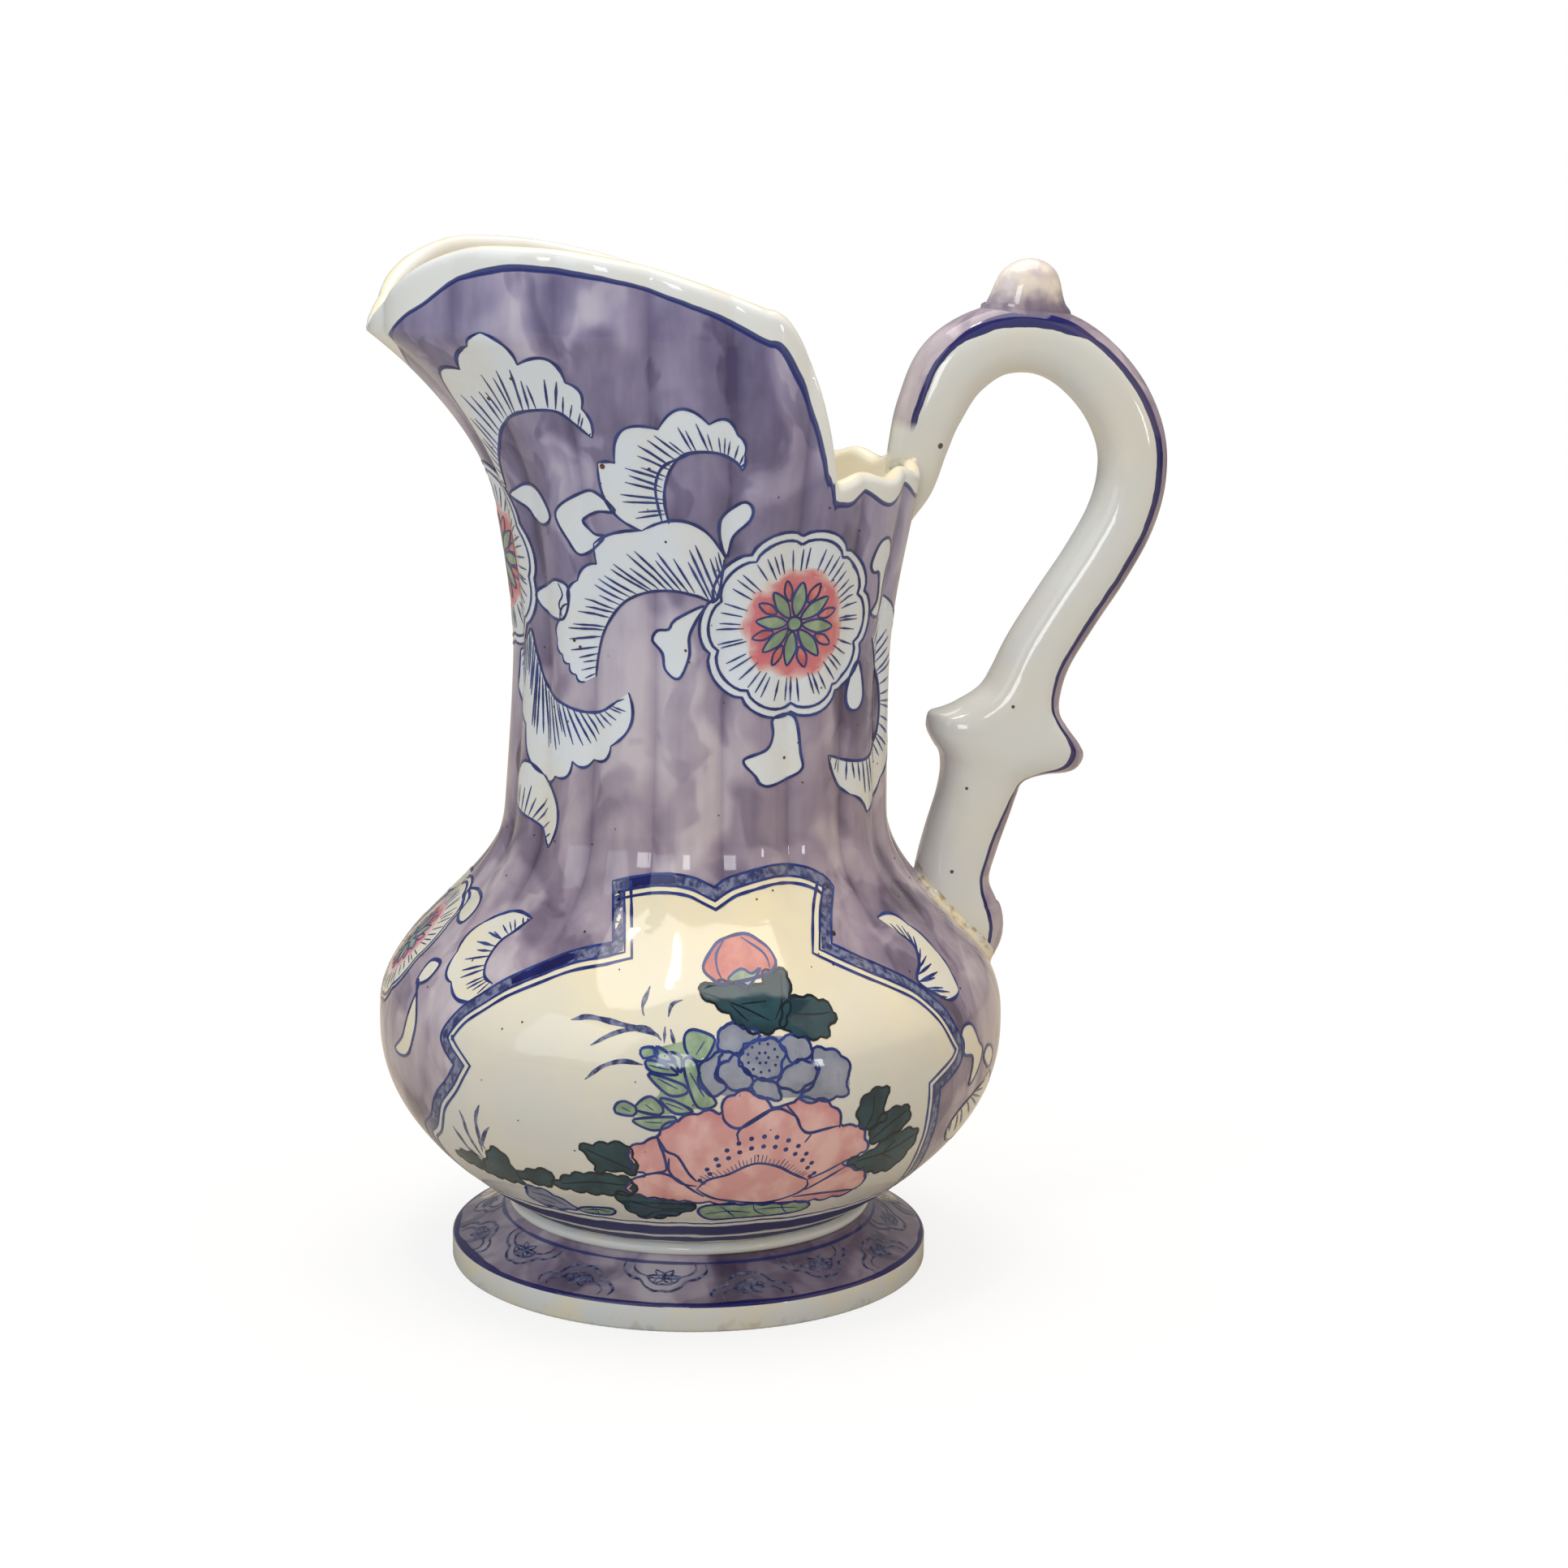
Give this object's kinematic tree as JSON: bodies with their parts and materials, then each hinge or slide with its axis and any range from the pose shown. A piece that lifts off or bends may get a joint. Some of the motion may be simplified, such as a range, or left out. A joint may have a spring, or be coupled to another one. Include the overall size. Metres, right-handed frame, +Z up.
{
  "type": "porcelain jug",
  "caption": "Footed porcelain jug with a swelling belly, fluted neck, broad pouring lip, notched rim and scrolled loop handle with a thumb knob; stands on its foot ring and pours.",
  "frame": {"origin": "on the table, under the middle of the jug's box; the jug's own axis stands 20 mm towards the lip, at x = -0.020", "axes": "+Z up; the pouring lip points along -X and the handle along +X; the XZ plane is the plane of symmetry"},
  "size_m": [0.2056, 0.162, 0.2638],
  "materials": {
    "mauve_glaze": "streaky mauve wash with painted flowers under a clear glaze",
    "white_glaze": "warm white porcelain under a clear glaze",
    "luting_slip": "fired slip, cream, slightly stained"
  },
  "bodies": {
    "root": {"body": "mauve_glaze", "foot": "mauve_glaze", "foot_luting_bead": "white_glaze", "handle": "white_glaze", "thumb_knob": "mauve_glaze", "knob_luting": "luting_slip", "upper_handle_luting": "luting_slip", "lower_handle_luting": "luting_slip"}
  },
  "joints": []
}
